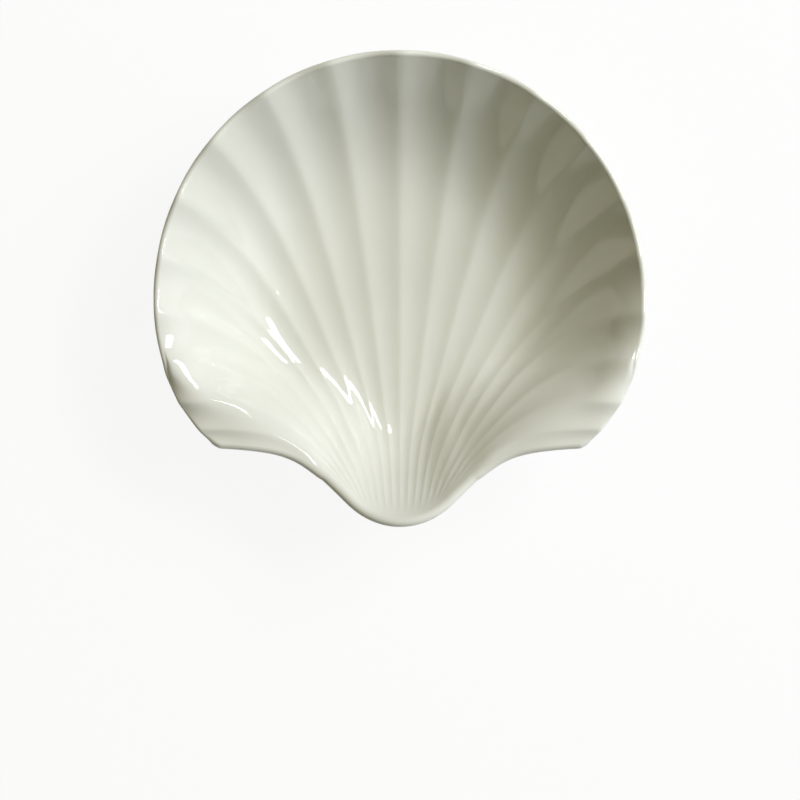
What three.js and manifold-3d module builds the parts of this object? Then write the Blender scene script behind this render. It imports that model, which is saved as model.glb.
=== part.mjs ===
// Scallop-shell plate in glazed porcelain: a fluted dish with a beak in front, and the foot ring under it.
// Millimetres, +Z up, standing on z = 0. The beak points to -Y, and the origin is under the middle of the box.
import * as THREE from 'three';
import { mergeVertices } from 'three/addons/utils/BufferGeometryUtils.js';
import Module from 'manifold-3d';

// Outline, seen from above: a round fan edge, two ears, two hollow hinge edges and a round beak.
const rimRadius = 115;
const beakReach = 105;
const beakRadius = 34.5;
const beakHalfWidth = 23;
const earCut = 6.7;
const earStart = THREE.MathUtils.degToRad(110);
const earSharpness = 4;

// Heights above the table, to the crests of the wavy rim and to the underside of the floor.
const rimHeight = 58.5;
const beakRise = 9;
const beakRiseSpread = THREE.MathUtils.degToRad(24);
const hingeDip = 1.3;
const hingeDipAngle = THREE.MathUtils.degToRad(30);
const hingeDipSpread = THREE.MathUtils.degToRad(22);
const floorHeight = 5;
const wellSetback = 11.5;

// The wall: how far in from an edge it runs down, and how softly it turns into the floor.
const rimRun = 34.6;
const rimKnee = 0.49;
const frontRun = 24;
const frontKnee = 0.28;
const frontLeanSpan = 4;

// Beside the ears the last stretch of the wall turns outwards, and the ears themselves end in a flat shelf.
const earFlareDrop = 6.9;
const earFlareWidth = 12.5;
const earFlareAngle = THREE.MathUtils.degToRad(115);
const earFlareSpread = THREE.MathUtils.degToRad(38);
const earShelf = 10;
const earShelfReach = 18;
const earShelfSoftness = 0.5;

// Clay thickness, and the rolled lip that runs along the hinge edges and round the beak.
const wall = 3.4;
const lipRoll = 1.6;
const lipWidth = 4.5;
const lipCrease = 4;

// Flutes: they leave the beak side by side and open like a palm leaf to the fan edge.
// Their depth is a share of their width; glaze fills the narrow ones inside, and grooves part them below.
const fluteCount = 20;
const floorFluteShare = 0.052;
const rimFluteShare = 0.094;
const rimFluteStart = 4;
const fluteCusp = 0.2;
const glazeFill = 2.5;
const beakGroove = 0.8;
const beakGrooveFade = 8;
const beakCrowding = THREE.MathUtils.degToRad(85);
const fanSpread = THREE.MathUtils.degToRad(172);
const fanClosing = THREE.MathUtils.degToRad(42.5);
const hingeTurn = 0.33;
const middleBeakPull = 71;
const hingeBeakPull = 31;
const middleRimPull = 25;
const hingeRimPull = 34.5;

// Foot ring, with a soft nose below the beak and bevels beside its bearing face.
const footRadius = 62.8;
const footNose = 4.3;
const footNoseAngle = THREE.MathUtils.degToRad(22);
const footWidth = 6;
const footFlare = 1.2;
const footBevel = 1;
const slipJoint = 0.3;

// Steps of the mesh.
const stepsPerFlute = 5;
const rows = 16;
const rowCrowding = 0.4;
const lipSteps = 3;
const footSteps = 96;
const outlineSteps = 240;
const tangentStep = 0.01;
const tangentInset = 0.03;

const columns = fluteCount * stepsPerFlute;
const upward = new THREE.Vector3(0, 0, 1);
const lerp = THREE.MathUtils.lerp;
const shellCentreY = (beakReach - rimRadius) / 2;
const wellCentre = new THREE.Vector2(0, shellCentreY + wellSetback);

// 1 at the middle of a soft hump, 0 from its foot on.
function hump(x) {
  return Math.abs(x) < 1 ? (1 + Math.cos(Math.PI * x)) / 2 : 0;
}

// Angle of a flute line at the fan edge, from straight back; u runs from -1 at one hinge edge to 1 at the other.
function fanAngle(u) {
  return fanSpread * u - fanClosing * u ** 3;
}

function turned(angle, length) {
  return new THREE.Vector2(Math.sin(angle), Math.cos(angle)).multiplyScalar(length);
}

// Where a flute line begins, on the round edge of the beak.
function beakPoint(u) {
  const x = beakHalfWidth * Math.sin(beakCrowding * u) / Math.sin(beakCrowding);
  return new THREE.Vector2(x, shellCentreY - beakReach + beakRadius - Math.sqrt(beakRadius ** 2 - x ** 2));
}

// Where it ends, on the fan edge, which is drawn in towards the ears.
function rimPoint(u) {
  const angle = fanAngle(u);
  const ear = Math.max(0, (Math.abs(angle) - earStart) / (fanAngle(1) - earStart));
  return turned(angle, rimRadius - earCut * ear ** earSharpness).add(new THREE.Vector2(0, shellCentreY));
}

// The flute line in plan: straight out of the beak, turning to meet the fan edge.
function fluteLine(u) {
  const start = beakPoint(u);
  const end = rimPoint(u);
  const hingeAngle = Math.PI / 2 - Math.asin(beakHalfWidth / beakRadius);
  const beakPull = turned(hingeAngle * u, lerp(middleBeakPull, hingeBeakPull, u * u));
  const rimPull = turned(fanAngle(u) * (1 - hingeTurn * u * u), lerp(middleRimPull, hingeRimPull, u * u));
  return new THREE.CubicBezierCurve(start, start.clone().add(beakPull), end.clone().sub(rimPull), end);
}

// Direction from the middle of the well, 0 straight back and PI at the beak.
function wellAngle(point) {
  return Math.atan2(point.x - wellCentre.x, point.y - wellCentre.y);
}

// The right half of the front edge, from the tip of the beak to the ear.
const frontEdge = [];
for (let k = 0; k <= outlineSteps; k++) {
  const t = k / outlineSteps;
  frontEdge.push(t < 0.5 ? beakPoint(2 * t) : fluteLine(1).getPoint(2 * t - 1));
}

// Distance to the fan edge along a flute, taken square to the edge.
function fromRim(u, point) {
  return point.distanceTo(rimPoint(u)) * Math.cos(fanAngle(u) * hingeTurn * u * u);
}

function frontY(x) {
  const side = Math.abs(x);
  const next = frontEdge.findIndex((point) => point.x > side);
  if (next < 1) return frontEdge.at(next).y;
  const [a, b] = [frontEdge[next - 1], frontEdge[next]];
  return lerp(a.y, b.y, (side - a.x) / (b.x - a.x));
}

// Distance behind the front edge, measured square to the edge's own slant.
function fromFront(point) {
  const slant = (frontY(point.x + frontLeanSpan) - frontY(point.x - frontLeanSpan)) / (2 * frontLeanSpan);
  return Math.max(0, point.y - frontY(point.x)) / Math.hypot(1, slant);
}

// 0 at an edge and 1 on the floor, down a wall with a soft knee.
function sunk(distance, run, knee) {
  const wallPart = Math.log1p(Math.exp((1 - distance / run) / knee));
  return 1 - wallPart / Math.log1p(Math.exp(1 / knee));
}

// A distance counted from behind the shelf at an ear, with a soft start.
function settled(distance, shelf) {
  const behind = distance - shelf;
  return (behind + Math.hypot(behind, earShelfSoftness * shelf)) / 2;
}

// Height of the rim's crests: level, but dipping along the hinge edges and rising at the beak.
function crestHeight(angle) {
  const fromBeak = Math.PI - Math.abs(angle);
  const dip = hingeDip * hump((fromBeak - hingeDipAngle) / hingeDipSpread);
  return rimHeight + beakRise * hump(fromBeak / beakRiseSpread) - dip;
}

// Plain underside without flutes: it sinks from every edge to the floor, and turns outwards at the ears.
function plainPoint(u, v) {
  const point = fluteLine(u).getPoint(v);
  const angle = wellAngle(point);
  const rimDistance = fromRim(u, point);
  const ear = Math.exp(-((point.distanceTo(rimPoint(Math.sign(u) || 1)) / earShelfReach) ** 2));
  const wallDown = sunk(settled(rimDistance, earShelf * ear), rimRun, rimKnee);
  const frontDown = sunk(settled(fromFront(point), earShelf * ear), frontRun, frontKnee);
  const rise = crestHeight(angle) - floorHeight;
  const edgeClay = wall / 2 * (1 + Math.cos(Math.atan(rise / rimRun)));
  const drop = earFlareDrop * hump((Math.abs(angle) - earFlareAngle) / earFlareSpread) * (1 - ear);
  const flare = Math.max(0, 1 - rimDistance / earFlareWidth) ** 2;
  const z = floorHeight + (rise + drop - edgeClay) * (1 - wallDown * frontDown) - drop * flare;
  return new THREE.Vector3(point.x, point.y, z);
}

// Depth of the flute at u: 0 on the crests between flutes, 1 along the middle, with slightly rounded crests.
function fluteShape(u) {
  const wave = Math.hypot(Math.sin(Math.PI * u * fluteCount / 2), fluteCusp);
  return (wave - fluteCusp) / (Math.hypot(1, fluteCusp) - fluteCusp);
}

// One point of the underside and the point of the inside that lies over it.
function shellPoints(u, v) {
  const plain = plainPoint(u, v);
  const innerU = THREE.MathUtils.clamp(u, tangentInset - 1, 1 - tangentInset);
  const innerV = THREE.MathUtils.clamp(v, tangentInset, 1 - tangentInset);
  const across = plainPoint(innerU + tangentStep, innerV).sub(plainPoint(innerU - tangentStep, innerV));
  const along = plainPoint(innerU, innerV + tangentStep).sub(plainPoint(innerU, innerV - tangentStep));
  const normal = across.cross(along);
  const width = normal.length() / along.length() / tangentStep / fluteCount;
  normal.normalize();

  const plan = new THREE.Vector2(plain.x, plain.y);
  const fromBeak = plan.distanceTo(beakPoint(u)) / lipWidth;
  const fromHinge = plan.distanceTo(fluteLine(Math.sign(u) || 1).getPoint(v)) / lipWidth;
  const atBeak = Math.exp(-(fromBeak ** lipCrease));
  const atHinge = Math.exp(-(fromHinge ** lipCrease));
  const lip = 1 - (1 - atBeak) * (1 - atHinge);

  const wave = fluteShape(u) * (1 - atBeak);
  const nearRim = v ** rimFluteStart;
  const deepening = normal.clone().lerp(upward, nearRim);
  const depth = width * lerp(floorFluteShare, rimFluteShare, nearRim);
  const insideDepth = depth * (1 - Math.exp(-((width / glazeFill) ** 2)));
  const underDepth = depth + beakGroove * Math.exp(-width / beakGrooveFade);
  const under = plain.clone().addScaledVector(normal, -lipRoll * lip);
  under.addScaledVector(deepening, -underDepth * wave);
  const inside = plain.addScaledVector(normal, wall);
  inside.addScaledVector(deepening, -insideDepth * wave);
  return { under, inside };
}

// Closed solid between a lower and an upper sheet of the same grid, with its edge rounded in a few steps.
function sheetSolid(lower, upper, edgeSteps) {
  const stride = columns + 1;
  const points = [...lower, ...upper];
  const faces = [];
  for (let j = 0; j < rows; j++) {
    for (let i = 0; i < columns; i++) {
      const a = j * stride + i;
      const b = a + 1;
      const c = b + stride;
      const d = a + stride;
      const top = lower.length;
      faces.push([a, c, b], [a, d, c]);
      faces.push([a + top, b + top, c + top], [a + top, c + top, d + top]);
    }
  }
  const loop = [];
  for (let i = 0; i < columns; i++) loop.push(i);
  for (let j = 0; j < rows; j++) loop.push(j * stride + columns);
  for (let i = columns; i > 0; i--) loop.push(rows * stride + i);
  for (let j = rows; j > 0; j--) loop.push(j * stride);
  const ribs = loop.map((index, k) => {
    const before = loop[(k + loop.length - 1) % loop.length];
    const after = loop[(k + 1) % loop.length];
    const half = upper[index].clone().sub(lower[index]).multiplyScalar(0.5);
    const middle = lower[index].clone().add(half);
    const along = lower[after].clone().add(upper[after]).sub(lower[before]).sub(upper[before]);
    const outward = along.cross(half).setLength(half.length());
    const rib = [index];
    for (let step = 1; step < edgeSteps; step++) {
      const angle = Math.PI * step / edgeSteps;
      const point = middle.clone().addScaledVector(half, -Math.cos(angle));
      points.push(point.addScaledVector(outward, Math.sin(angle)));
      rib.push(points.length - 1);
    }
    rib.push(index + lower.length);
    return rib;
  });
  ribs.forEach((rib, k) => {
    const next = ribs[(k + 1) % ribs.length];
    for (let step = 0; step < edgeSteps; step++) {
      faces.push([rib[step], next[step], next[step + 1]], [rib[step], next[step + 1], rib[step + 1]]);
    }
  });
  return closedGeometry(points, faces);
}

function closedGeometry(points, faces) {
  const geometry = new THREE.BufferGeometry().setFromPoints(points);
  geometry.setIndex(faces.flat());
  geometry.computeVertexNormals();
  return geometry;
}

const wasm = await Module();
wasm.setup();

function toSolid(geometry) {
  const bare = geometry.clone();
  bare.deleteAttribute('normal');
  const merged = mergeVertices(bare);
  const vertProperties = new Float32Array(merged.getAttribute('position').array);
  const triVerts = new Uint32Array(merged.index.array);
  return new wasm.Manifold(new wasm.Mesh({ numProp: 3, vertProperties, triVerts }));
}

function toGeometry(solid) {
  const mesh = solid.getMesh();
  const geometry = new THREE.BufferGeometry();
  geometry.setAttribute('position', new THREE.BufferAttribute(mesh.vertProperties, 3));
  geometry.setIndex(new THREE.BufferAttribute(mesh.triVerts, 1));
  geometry.computeVertexNormals();
  return geometry;
}

// The two sheets of the shell on one grid, with rows closer together at the beak and at the rim.
const under = [];
const inside = [];
for (let j = 0; j <= rows; j++) {
  const v = lerp(j / rows, (1 - Math.cos(Math.PI * j / rows)) / 2, rowCrowding);
  for (let i = 0; i <= columns; i++) {
    const pair = shellPoints(2 * i / columns - 1, v);
    under.push(pair.under);
    inside.push(pair.inside);
  }
}

function dishGeometry() {
  return sheetSolid(under, inside, lipSteps);
}

// A plain ring that reaches up into the dish, trimmed to the ribbed underside with room for the slip.
function footGeometry() {
  const ringTop = rimHeight / 2;
  const points = [];
  const faces = [];
  for (let k = 0; k < footSteps; k++) {
    const angle = 2 * Math.PI * k / footSteps;
    const fromBeak = Math.PI - Math.abs(angle > Math.PI ? angle - 2 * Math.PI : angle);
    const outer = footRadius + footNose * hump(fromBeak / footNoseAngle);
    const inner = outer - footWidth;
    const section = [
      [inner, ringTop], [inner, footBevel], [inner + footBevel, 0], [outer - footBevel, 0],
      [outer, footBevel], [outer + footFlare, ringTop],
    ];
    section.forEach(([radius, z]) => {
      const plan = turned(angle, radius).add(wellCentre);
      points.push(new THREE.Vector3(plan.x, plan.y, z));
    });
    const corners = section.length;
    for (let m = 0; m < corners; m++) {
      const a = k * corners + m;
      const b = k * corners + (m + 1) % corners;
      const shift = ((k + 1) % footSteps - k) * corners;
      faces.push([a, b + shift, a + shift], [a, b, b + shift]);
    }
  }
  const trimBase = under.map((point) => point.clone().setZ(point.z - slipJoint));
  const trimTop = under.map((point) => point.clone().setZ(2 * rimHeight));
  const trim = toSolid(sheetSolid(trimBase, trimTop, 1));
  return toGeometry(toSolid(closedGeometry(points, faces)).subtract(trim));
}

const glaze = new THREE.MeshStandardMaterial({ color: 0xe9e8df, roughness: 0.12, metalness: 0 });
const footClay = new THREE.MeshStandardMaterial({ color: 0xe6e2d6, roughness: 0.45, metalness: 0 });

const shellDish = new THREE.Mesh(dishGeometry(), glaze);
shellDish.name = 'shell_dish';

const footRing = new THREE.Mesh(footGeometry(), footClay);
footRing.name = 'foot_ring';

const shellPlate = new THREE.Group();
shellPlate.add(shellDish, footRing);

// The lip stands out further in front than behind, so the whole is set back over the origin.
const middle = new THREE.Box3().setFromObject(shellPlate).getCenter(new THREE.Vector3());
shellPlate.position.set(-middle.x, -middle.y, 0);

export default shellPlate;
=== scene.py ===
import math

import bpy
import numpy as np
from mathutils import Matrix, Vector
from mathutils.bvhtree import BVHTree


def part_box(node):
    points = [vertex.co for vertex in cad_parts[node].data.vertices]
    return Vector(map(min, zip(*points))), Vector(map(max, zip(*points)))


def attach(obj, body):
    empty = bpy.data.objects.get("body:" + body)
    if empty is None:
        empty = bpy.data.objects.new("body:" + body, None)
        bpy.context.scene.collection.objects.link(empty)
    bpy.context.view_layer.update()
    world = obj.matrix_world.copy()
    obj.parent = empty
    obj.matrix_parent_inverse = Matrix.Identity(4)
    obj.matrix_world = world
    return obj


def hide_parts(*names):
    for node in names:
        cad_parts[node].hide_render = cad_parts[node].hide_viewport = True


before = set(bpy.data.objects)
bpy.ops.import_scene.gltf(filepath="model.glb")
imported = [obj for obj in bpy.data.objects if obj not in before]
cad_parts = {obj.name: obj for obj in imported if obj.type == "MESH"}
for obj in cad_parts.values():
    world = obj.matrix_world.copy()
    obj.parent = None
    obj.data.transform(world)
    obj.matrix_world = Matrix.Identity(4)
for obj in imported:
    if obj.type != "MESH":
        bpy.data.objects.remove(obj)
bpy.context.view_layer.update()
mm = 0.001
print("frame loaded:", ", ".join(sorted(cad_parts)))


def hexToLinear(code):  # sRGB hex to the linear colour that a socket takes
    channels = [int(code[k:k + 2], 16) / 255 for k in (1, 3, 5)]
    linear = [c / 12.92 if c <= 0.04045 else ((c + 0.055) / 1.055) ** 2.4 for c in channels]
    return (*linear, 1.0)


def addNode(tree, kind, settings=None, inputs=None):
    node = tree.nodes.new(kind)
    for key, value in (settings or {}).items():
        setattr(node, key, value)
    for socket, value in (inputs or {}).items():
        if isinstance(value, bpy.types.NodeSocket):
            tree.links.new(value, node.inputs[socket])
        else:
            node.inputs[socket].default_value = value
    return node


def addPiece(name, points, faces, material):  # smooth mesh from points in millimetres
    mesh = bpy.data.meshes.new(name)
    mesh.from_pydata((points * mm).tolist(), [], faces)
    mesh.polygons.foreach_set("use_smooth", [True] * len(mesh.polygons))
    mesh.materials.append(material)
    mesh.update()
    piece = bpy.data.objects.new(name, mesh)
    bpy.context.scene.collection.objects.link(piece)
    return piece


def hump(x):  # 1 in the middle of a soft hump, 0 from its foot on
    return np.where(np.abs(x) < 1, (1 + np.cos(np.pi * x)) / 2, 0)


def mix(a, b, share):
    return a + (b - a) * share


# The shell in millimetres and degrees; shares, powers and counts have no unit.
# u runs across the flutes from -1 to 1, between the two hinge edges, and v along them from beak to rim.
shell = {
    "rimRadius": 115.0, "beakReach": 105.0, "beakRadius": 34.5, "beakHalfWidth": 23.0,
    "earCut": 4.0, "earStart": 98.0, "earSharpness": 1.5, "earRound": 2.2, "earRoundness": 10,
    "rimHeight": 58.5, "beakRise": 9.0, "beakRiseSpread": 24.0,
    "hingeDip": 1.3, "hingeDipAngle": 30.0, "hingeDipSpread": 22.0,
    "floorHeight": 5.0, "wellSetback": 11.5,
    "rimRun": 34.6, "rimKnee": 0.49, "frontRun": 24.0, "frontKnee": 0.28, "frontLeanSpan": 4.0,
    "wall": 3.4, "lipRoll": 1.6, "lipWidth": 4.5, "lipCrease": 4,
    "earFlareDrop": 6.9, "earFlareWidth": 12.5, "earFlareAngle": 115.0, "earFlareSpread": 38.0,
    "earShelf": 15.5, "earShelfReach": 54.0, "earShelfSoftness": 0.7,
    "fluteCount": 20, "fluteCusp": 0.2, "floorFluteShare": 0.047,
    "rimFluteShare": 0.09, "rimFluteStart": 4, "rimFluteUpright": 0.7,
    "glazeFill": 2.5, "ribGain": 2.0, "beakGroove": 0.8, "beakGrooveFade": 8.0,
    "beakCrowding": 85.0, "fanSpread": 172.0, "fanClosing": 42.5, "hingeTurn": 0.33,
    "middleBeakPull": 71.0, "hingeBeakPull": 31.0, "middleRimPull": 25.0, "hingeRimPull": 34.5,
    "stepsPerFlute": 16, "rows": 120, "rowCrowding": 0.4, "lipSteps": 10,
    "tangentStep": 0.01, "tangentInset": 0.03, "beakSamples": 400, "hingeSamples": 1200,
}
centreY = (shell["beakReach"] - shell["rimRadius"]) / 2
wellY = centreY + shell["wellSetback"]


def turned(angle, length):
    return np.sin(angle) * length, np.cos(angle) * length


def fanAngle(u):
    return np.radians(shell["fanSpread"] * u - shell["fanClosing"] * u ** 3)


def beakPoint(u):  # where a flute line begins, on the round edge of the beak
    crowding = math.radians(shell["beakCrowding"])
    x = shell["beakHalfWidth"] * np.sin(crowding * u) / math.sin(crowding)
    radius = shell["beakRadius"]
    return x, centreY - shell["beakReach"] + radius - np.sqrt(radius ** 2 - x ** 2)


def rimPoint(u):  # where it ends, on the fan edge, drawn in towards the ears
    angle = fanAngle(u)
    start = math.radians(shell["earStart"])
    ear = np.maximum(0, (np.abs(angle) - start) / (fanAngle(1.0) - start))
    cut = shell["earCut"] * ear ** shell["earSharpness"] + shell["earRound"] * ear ** shell["earRoundness"]
    x, y = turned(angle, shell["rimRadius"] - cut)
    return x, y + centreY


def fluteLine(u, v):  # plan of the flutes: straight out of the beak, turning to meet the fan edge
    startX, startY = beakPoint(u)
    endX, endY = rimPoint(u)
    hingeAngle = math.pi / 2 - math.asin(shell["beakHalfWidth"] / shell["beakRadius"])
    pullX, pullY = turned(hingeAngle * u, mix(shell["middleBeakPull"], shell["hingeBeakPull"], u * u))
    turn = fanAngle(u) * (1 - shell["hingeTurn"] * u * u)
    backX, backY = turned(turn, mix(shell["middleRimPull"], shell["hingeRimPull"], u * u))
    w = 1 - v
    shares = w ** 3, 3 * w * w * v, 3 * w * v * v, v ** 3
    xs = startX, startX + pullX, endX - backX, endX
    ys = startY, startY + pullY, endY - backY, endY
    return sum(s * x for s, x in zip(shares, xs)), sum(s * y for s, y in zip(shares, ys))


# Half of the front edge as a chain of points: the beak, then the hinge edge
beakEdge = beakPoint(np.linspace(0, 1, shell["beakSamples"]))
hingeEdge = fluteLine(np.ones(shell["hingeSamples"]), np.linspace(0, 1, shell["hingeSamples"]))
frontX, frontY = np.concatenate([beakEdge, hingeEdge], axis=1)


def fromRim(u, x, y):  # distance to the fan edge along a flute, taken square to the edge
    endX, endY = rimPoint(u)
    return np.hypot(x - endX, y - endY) * np.cos(fanAngle(u) * shell["hingeTurn"] * u * u)


def frontAt(x):
    return np.interp(np.abs(x), frontX, frontY)


def fromFront(x, y):  # distance behind the front edge, square to the edge's own slant
    span = shell["frontLeanSpan"]
    slant = (frontAt(x + span) - frontAt(x - span)) / (2 * span)
    return np.maximum(0, y - frontAt(x)) / np.hypot(1, slant)


def sunk(distance, run, knee):  # 0 at an edge and 1 on the floor, down a wall with a soft knee
    return 1 - np.logaddexp(0, (1 - distance / run) / knee) / np.logaddexp(0, 1 / knee)


def settled(distance, shelf):  # a distance counted from behind a flat shelf at the edge, with a soft start
    behind = distance - shelf
    return (behind + np.hypot(behind, shell["earShelfSoftness"] * shelf)) / 2


def crestHeight(angle):  # level rim that dips along the hinge edges and rises at the beak
    fromBeak = np.degrees(np.pi - np.abs(angle))
    rise = shell["beakRise"] * hump(fromBeak / shell["beakRiseSpread"])
    dip = shell["hingeDip"] * hump((fromBeak - shell["hingeDipAngle"]) / shell["hingeDipSpread"])
    return shell["rimHeight"] + rise - dip


def plainSheet(u, v):  # underside without flutes: it sinks from every edge, and turns outwards at the ears
    x, y = fluteLine(u, v)
    angle = np.arctan2(x, y - wellY)
    rimDistance = fromRim(u, x, y)
    cornerX, cornerY = rimPoint(1.0)
    fromCorner = np.hypot(np.abs(x) - cornerX, y - cornerY)
    ear = hump(fromCorner / shell["earShelfReach"])
    shelf = shell["earShelf"] * ear
    deep = sunk(settled(rimDistance, shelf), shell["rimRun"], shell["rimKnee"])
    deep *= sunk(settled(fromFront(x, y), shelf), shell["frontRun"], shell["frontKnee"])
    rise = crestHeight(angle) - shell["floorHeight"]
    edgeClay = shell["wall"] / 2 * (1 + np.cos(np.arctan(rise / shell["rimRun"])))
    flareSide = hump((np.degrees(np.abs(angle)) - shell["earFlareAngle"]) / shell["earFlareSpread"])
    drop = shell["earFlareDrop"] * flareSide * (1 - ear)
    flare = np.maximum(0, 1 - rimDistance / shell["earFlareWidth"]) ** 2
    z = shell["floorHeight"] + (rise + drop - edgeClay) * (1 - deep) - drop * flare
    return np.stack([x, y, z], axis=-1)


def fluteShape(u):  # 0 on the crests, 1 along the middle of a flute
    cusp = shell["fluteCusp"]
    wave = np.hypot(np.sin(np.pi * u * shell["fluteCount"] / 2), cusp)
    return (wave - cusp) / (math.hypot(1, cusp) - cusp)


def shellSheets(u, v):  # underside and inside of the shell over one grid
    plain = plainSheet(u, v)
    # The normal and each flute's width, taken a little in from the edges of the grid
    step, inset = shell["tangentStep"], shell["tangentInset"]
    innerU, innerV = np.clip(u, inset - 1, 1 - inset), np.clip(v, inset, 1 - inset)
    across = plainSheet(innerU + step, innerV) - plainSheet(innerU - step, innerV)
    along = plainSheet(innerU, innerV + step) - plainSheet(innerU, innerV - step)
    normal = np.cross(across, along)
    square = np.linalg.norm(normal, axis=-1)
    width = square / np.linalg.norm(along, axis=-1) / step / shell["fluteCount"]
    normal /= square[..., None]

    # The lip, rolled under along the beak and the hinge edges
    x, y = plain[..., 0], plain[..., 1]
    beakX, beakY = beakPoint(u)
    hingeX, hingeY = fluteLine(np.where(u < 0, -1.0, 1.0), v)
    atBeak = np.exp(-(np.hypot(x - beakX, y - beakY) / shell["lipWidth"]) ** shell["lipCrease"])
    atHinge = np.exp(-(np.hypot(x - hingeX, y - hingeY) / shell["lipWidth"]) ** shell["lipCrease"])
    lip = 1 - (1 - atBeak) * (1 - atHinge)

    # The flutes: glaze fills the narrow ones inside, and the ribs outside are deeper away from the rim
    wave = fluteShape(u) * (1 - atBeak)
    nearRim = v ** shell["rimFluteStart"]
    upright = np.array([0.0, 0.0, 1.0])
    deepening = mix(normal, upright, shell["rimFluteUpright"] * nearRim[..., None])
    depth = width * mix(shell["floorFluteShare"], shell["rimFluteShare"], nearRim)
    insideDepth = depth * (1 - np.exp(-(width / shell["glazeFill"]) ** 2))
    underDepth = depth * mix(shell["ribGain"], 1.0, nearRim)
    underDepth += shell["beakGroove"] * np.exp(-width / shell["beakGrooveFade"])
    under = plain - normal * (shell["lipRoll"] * lip)[..., None]
    under -= deepening * (underDepth * wave)[..., None]
    inside = plain + normal * shell["wall"] - deepening * (insideDepth * wave)[..., None]
    return under, inside


def sheetSolid(lower, upper, edgeSteps):  # closes two sheets of one grid with a half-round edge
    rows, columns = lower.shape[0] - 1, lower.shape[1] - 1
    stride = columns + 1
    points = np.concatenate([lower.reshape(-1, 3), upper.reshape(-1, 3)])
    top = lower.shape[0] * stride
    j, i = np.mgrid[0:rows, 0:columns]
    near = (j * stride + i).ravel()
    far = near + stride
    bottoms = np.stack([near, far, far + 1, near + 1], axis=1)
    lids = np.stack([near, near + 1, far + 1, far], axis=1) + top
    loop = np.concatenate([
        np.arange(columns), np.arange(rows) * stride + columns,
        rows * stride + np.arange(columns, 0, -1), np.arange(rows, 0, -1) * stride,
    ])
    half = (points[loop + top] - points[loop]) / 2
    middle = points[loop] + half
    sideways = np.roll(middle, -1, axis=0) - np.roll(middle, 1, axis=0)
    outward = np.cross(sideways, half)
    outward *= np.linalg.norm(half, axis=1, keepdims=True) / np.linalg.norm(outward, axis=1, keepdims=True)
    turns = np.pi * np.arange(1, edgeSteps) / edgeSteps
    rings = [middle - half * math.cos(t) + outward * math.sin(t) for t in turns]
    first = len(points)
    points = np.concatenate([points, *rings])
    edgeRows = [loop]
    edgeRows += [first + k * len(loop) + np.arange(len(loop)) for k in range(edgeSteps - 1)]
    edgeRows += [loop + top]
    edge = [
        np.stack([low, np.roll(low, -1), np.roll(high, -1), high], axis=1)
        for low, high in zip(edgeRows, edgeRows[1:])
    ]
    return points, np.concatenate([bottoms, lids, *edge]).tolist()


# White porcelain, slip-cast under a clear fired glaze: the white clouds a little, as glaze of uneven
# thickness does, and a faint ripple breaks the edges of sharp highlights. Sizes in millimetres.
glazeLook = {
    "white": "#ecece6", "pooled": "#e1e2d9", "roughness": 0.06, "ior": 1.52,
    "cloudSize": 45.0, "cloudDetail": 3.0,
    "rippleSize": 3.0, "rippleDetail": 2.0, "rippleHeight": 0.03, "rippleStrength": 0.4,
}
# Bare porcelain, wiped clean of glaze before the firing: matt, and a little warmer than the glaze.
# The grain is drawn coarser than clay's own, so that the wiped edge is seen to waver.
biscuitLook = {
    "clay": "#d5cdbd", "roughness": 0.7,
    "wipeHeight": 0.7, "wipeSoftness": 0.4, "grainSize": 0.6, "grainDetail": 2.0,
}


def glazedPorcelain(name, look):
    material = bpy.data.materials.new(name)
    material.use_nodes = True
    tree = material.node_tree
    shader = tree.nodes["Principled BSDF"]
    place = addNode(tree, "ShaderNodeTexCoord").outputs["Object"]
    clouds = addNode(tree, "ShaderNodeTexNoise", inputs={
        "Vector": place, "Scale": 1 / (look["cloudSize"] * mm), "Detail": look["cloudDetail"]})
    colour = addNode(tree, "ShaderNodeMix", {"data_type": "RGBA"}, {
        "Factor": clouds.outputs["Fac"], "A": hexToLinear(look["pooled"]), "B": hexToLinear(look["white"])})
    tree.links.new(colour.outputs["Result"], shader.inputs["Base Color"])
    ripple = addNode(tree, "ShaderNodeTexNoise", inputs={
        "Vector": place, "Scale": 1 / (look["rippleSize"] * mm), "Detail": look["rippleDetail"]})
    bump = addNode(tree, "ShaderNodeBump", inputs={
        "Height": ripple.outputs["Fac"], "Distance": look["rippleHeight"] * mm,
        "Strength": look["rippleStrength"]})
    tree.links.new(bump.outputs["Normal"], shader.inputs["Normal"])
    shader.inputs["Roughness"].default_value = look["roughness"]
    shader.inputs["IOR"].default_value = look["ior"]
    return material


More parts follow.
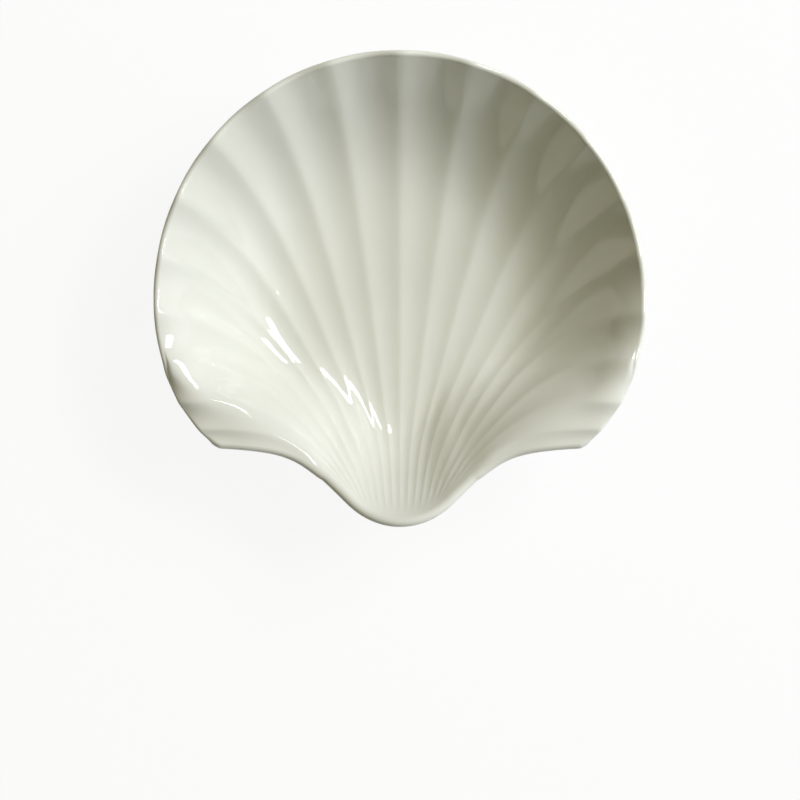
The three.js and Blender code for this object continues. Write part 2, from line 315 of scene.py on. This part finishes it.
def wipedPorcelain(name, look, bareLook):  # the same glaze, wiped off low down so that the dry clay shows
    material = glazedPorcelain(name, look)
    tree = material.node_tree
    shader = tree.nodes["Principled BSDF"]
    glazed = shader.inputs["Base Color"].links[0].from_socket
    place = addNode(tree, "ShaderNodeTexCoord").outputs["Object"]
    height = addNode(tree, "ShaderNodeSeparateXYZ", inputs={0: place}).outputs["Z"]
    grain = addNode(tree, "ShaderNodeTexNoise", inputs={
        "Vector": place, "Scale": 1 / (bareLook["grainSize"] * mm), "Detail": bareLook["grainDetail"]})
    soft, edge = bareLook["wipeSoftness"] * mm, bareLook["wipeHeight"] * mm
    uneven = addNode(tree, "ShaderNodeMath", {"operation": "MULTIPLY_ADD"}, {
        0: grain.outputs["Fac"], 1: soft, 2: height})
    bare = addNode(tree, "ShaderNodeMapRange", inputs={
        "Value": uneven.outputs[0], "From Min": edge, "From Max": edge + soft,
        "To Min": 1.0, "To Max": 0.0})
    colour = addNode(tree, "ShaderNodeMix", {"data_type": "RGBA"}, {
        "Factor": bare.outputs[0], "A": glazed, "B": hexToLinear(bareLook["clay"])})
    tree.links.new(colour.outputs["Result"], shader.inputs["Base Color"])
    rough = addNode(tree, "ShaderNodeMath", {"operation": "MULTIPLY_ADD"}, {
        0: bare.outputs[0], 1: bareLook["roughness"] - look["roughness"], 2: look["roughness"]})
    tree.links.new(rough.outputs[0], shader.inputs["Roughness"])
    return material


# The dish: rows crowd towards the beak and the rim, and it is shifted along Y to the CAD solid's middle
columns = shell["fluteCount"] * shell["stepsPerFlute"]
rowShare = np.linspace(0, 1, shell["rows"] + 1)
rowShare = mix(rowShare, (1 - np.cos(np.pi * rowShare)) / 2, shell["rowCrowding"])
gridV, gridU = np.meshgrid(rowShare, np.linspace(-1, 1, columns + 1), indexing="ij")
underSheet, insideSheet = shellSheets(gridU, gridV)
dishPoints, dishFaces = sheetSolid(underSheet, insideSheet, shell["lipSteps"])
dishLow, dishHigh = (np.array(corner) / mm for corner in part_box("shell_dish"))
shift = (dishLow + dishHigh) / 2 - (dishPoints.min(axis=0) + dishPoints.max(axis=0)) / 2
shift[[0, 2]] = 0
dishPoints += shift
glaze = glazedPorcelain("glazed_porcelain", glazeLook)
dish = addPiece("shell_dish_glazed", dishPoints, dishFaces, glaze)
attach(dish, "root")
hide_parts("shell_dish")
print("dish:", len(dishFaces), "faces, set back by %.2f mm" % shift[1])


# The foot in millimetres and degrees, with a nose towards the beak
foot = {
    "radius": 62.8, "nose": 4.3, "noseSpread": 22.0, "width": 6.0, "flare": 1.2, "edgeRound": 1.4,
    "sink": 0.3, "steps": 720, "roundSteps": 5, "rayStart": -1.0,
}


def footRing():  # a section swept round; where it has no height, it reaches up to the dish's underside
    underside = BVHTree.FromPolygons([Vector(p) for p in dishPoints], dishFaces)
    upward = Vector((0, 0, 1))
    angle = np.linspace(0, 2 * np.pi, foot["steps"], endpoint=False)
    fromBeak = np.degrees(np.abs(np.pi - angle))
    outer = foot["radius"] + foot["nose"] * hump(fromBeak / foot["noseSpread"])
    inner = outer - foot["width"]
    rounding = foot["edgeRound"]
    quarter = np.linspace(0, np.pi / 2, foot["roundSteps"])
    section = [(inner, None)]
    section += [(inner + rounding * (1 - math.cos(q)), rounding * (1 - math.sin(q))) for q in quarter]
    section += [(outer - rounding * (1 - math.sin(q)), rounding * (1 - math.cos(q))) for q in quarter]
    section += [(outer + foot["flare"], None), (outer - foot["width"] / 2, None)]
    rings = []
    for radius, height in section:
        x, y = turned(angle, radius)
        y = y + wellY + shift[1]
        if height is None:
            starts = [Vector((px, py, foot["rayStart"])) for px, py in zip(x, y)]
            hits = [underside.ray_cast(start, upward)[0] for start in starts]
            z = np.array([hit.z for hit in hits]) + foot["sink"]
        else:
            z = np.full_like(x, height)
        rings.append(np.stack([x, y, z], axis=1))
    count, steps = len(rings), foot["steps"]
    k, m = np.mgrid[0:steps, 0:count]
    nextK, nextM = (k + 1) % steps, (m + 1) % count
    corners = [m * steps + k, nextM * steps + k, nextM * steps + nextK, m * steps + nextK]
    return np.concatenate(rings), np.stack(corners, axis=-1).reshape(-1, 4).tolist()


footPoints, footFaces = footRing()
wiped = wipedPorcelain("foot_porcelain", glazeLook, biscuitLook)
ring = addPiece("foot_ring_wiped", footPoints, footFaces, wiped)
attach(ring, "root")
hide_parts("foot_ring")
print("foot ring:", len(footFaces), "faces")


# The studio in metres and degrees; a turn is counted clockwise from +Y, seen from above
studio = {
    "aim": (0.0, 0.0, 0.03), "lightDistance": 1.8, "glowSpread": 4.0,
    "floorSize": 3.0, "floorGlow": 0.9, "paper": "#f7f7f7", "white": "#ffffff",
}
softbox = {"turn": 57.0, "height": 43.0, "size": (1.2, 0.55), "power": 26.5, "colour": "#fbfdff"}
# Soft light of the room: a pale wall at the side, the ceiling and a warm corner
glows = [
    {"turn": 90.0, "height": 15.0, "colour": "#fbfdff", "strength": 1.35},
    {"turn": 0.0, "height": 90.0, "colour": "#f2ffbb", "strength": 0.18},
    {"turn": 300.0, "height": 50.0, "colour": "#ffe594", "strength": 0.28},
]


def whiteTable():  # white paper that keeps the plate's shadow, and is clear when seen from below
    side = studio["floorSize"] / 2 / mm
    corners = np.array([(-side, -side, 0), (side, -side, 0), (side, side, 0), (-side, side, 0)])
    material = bpy.data.materials.new("white_table")
    material.use_nodes = True
    tree = material.node_tree
    tree.nodes.clear()
    seen = addNode(tree, "ShaderNodeLightPath")
    direct = addNode(tree, "ShaderNodeMath", {"operation": "MAXIMUM"}, {
        0: seen.outputs["Is Camera Ray"], 1: seen.outputs["Is Glossy Ray"]})
    pictured = addNode(tree, "ShaderNodeMath", {"operation": "MAXIMUM"}, {
        0: direct.outputs[0], 1: seen.outputs["Is Transmission Ray"]})
    glow = addNode(tree, "ShaderNodeMath", {"operation": "MULTIPLY"}, {
        0: pictured.outputs[0], 1: studio["floorGlow"]})
    paper = addNode(tree, "ShaderNodeBsdfDiffuse", inputs={"Color": hexToLinear(studio["paper"])})
    light = addNode(tree, "ShaderNodeEmission", inputs={
        "Color": hexToLinear(studio["white"]), "Strength": 1.0})
    both = addNode(tree, "ShaderNodeMixShader", inputs={
        0: glow.outputs[0], 1: paper.outputs[0], 2: light.outputs[0]})
    below = addNode(tree, "ShaderNodeNewGeometry").outputs["Backfacing"]
    clear = addNode(tree, "ShaderNodeBsdfTransparent")
    sheet = addNode(tree, "ShaderNodeMixShader", inputs={0: below, 1: both.outputs[0], 2: clear.outputs[0]})
    addNode(tree, "ShaderNodeOutputMaterial", inputs={"Surface": sheet.outputs[0]})
    floor = addPiece("table", corners, [(0, 1, 2, 3)], material)


def bearing(look):  # unit direction towards a light
    turn, height = math.radians(look["turn"]), math.radians(look["height"])
    return Vector((math.sin(turn) * math.cos(height), math.cos(turn) * math.cos(height), math.sin(height)))


def keyLight():
    away = bearing(softbox)
    lamp = bpy.data.lights.new("softbox", "AREA")
    lamp.shape = "RECTANGLE"
    lamp.size, lamp.size_y = softbox["size"]
    lamp.energy = softbox["power"]
    lamp.color = hexToLinear(softbox["colour"])[:3]
    holder = bpy.data.objects.new("softbox", lamp)
    holder.location = Vector(studio["aim"]) + away * studio["lightDistance"]
    holder.rotation_euler = (-away).to_track_quat("-Z", "Y").to_euler()
    bpy.context.scene.collection.objects.link(holder)


def roomLight():  # the glows add up; the lens itself sees plain white past the table
    world = bpy.data.worlds.new("room")
    world.use_nodes = True
    tree = world.node_tree
    towards = addNode(tree, "ShaderNodeTexCoord").outputs["Generated"]
    total = (0.0, 0.0, 0.0)
    for glow in glows:
        facing = addNode(tree, "ShaderNodeVectorMath", {"operation": "DOT_PRODUCT"}, {
            0: towards, 1: bearing(glow)})
        ahead = addNode(tree, "ShaderNodeMath", {"operation": "MAXIMUM"}, {
            0: facing.outputs["Value"], 1: 0.0})
        lobe = addNode(tree, "ShaderNodeMath", {"operation": "POWER"}, {
            0: ahead.outputs[0], 1: studio["glowSpread"]})
        colour = [glow["strength"] * c for c in hexToLinear(glow["colour"])[:3]]
        share = addNode(tree, "ShaderNodeVectorMath", {"operation": "SCALE"}, {
            0: colour, "Scale": lobe.outputs[0]})
        added = addNode(tree, "ShaderNodeVectorMath", {"operation": "ADD"}, {0: total, 1: share.outputs[0]})
        total = added.outputs[0]
    seen = addNode(tree, "ShaderNodeLightPath")
    tint = addNode(tree, "ShaderNodeMix", {"data_type": "RGBA"}, {
        "Factor": seen.outputs["Is Camera Ray"], "A": total, "B": hexToLinear(studio["white"])})
    tree.links.new(tint.outputs["Result"], tree.nodes["Background"].inputs["Color"])
    bpy.context.scene.world = world


# Plan view in millimetres: the lens looks straight down on the middle of the fan, with the beak at the
# bottom of the picture. plateRow is the picture row that the middle of the fan lies on.
camera = {"distance": 540.5, "lens": 52.0, "sensor": 36.0, "plateRow": 296.0, "pictureRows": 800.0}


def overheadCamera():
    data = bpy.data.cameras.new("overhead")
    data.lens = camera["lens"]
    data.sensor_width = camera["sensor"]
    data.shift_y = (camera["plateRow"] - camera["pictureRows"] / 2) / camera["pictureRows"]
    holder = bpy.data.objects.new("overhead", data)
    holder.location = Vector((0, centreY + shift[1], shell["rimHeight"] + camera["distance"])) * mm
    bpy.context.scene.collection.objects.link(holder)
    bpy.context.scene.camera = holder


whiteTable()
keyLight()
roomLight()
overheadCamera()
bpy.context.scene.view_settings.view_transform = "Standard"
print("studio set")
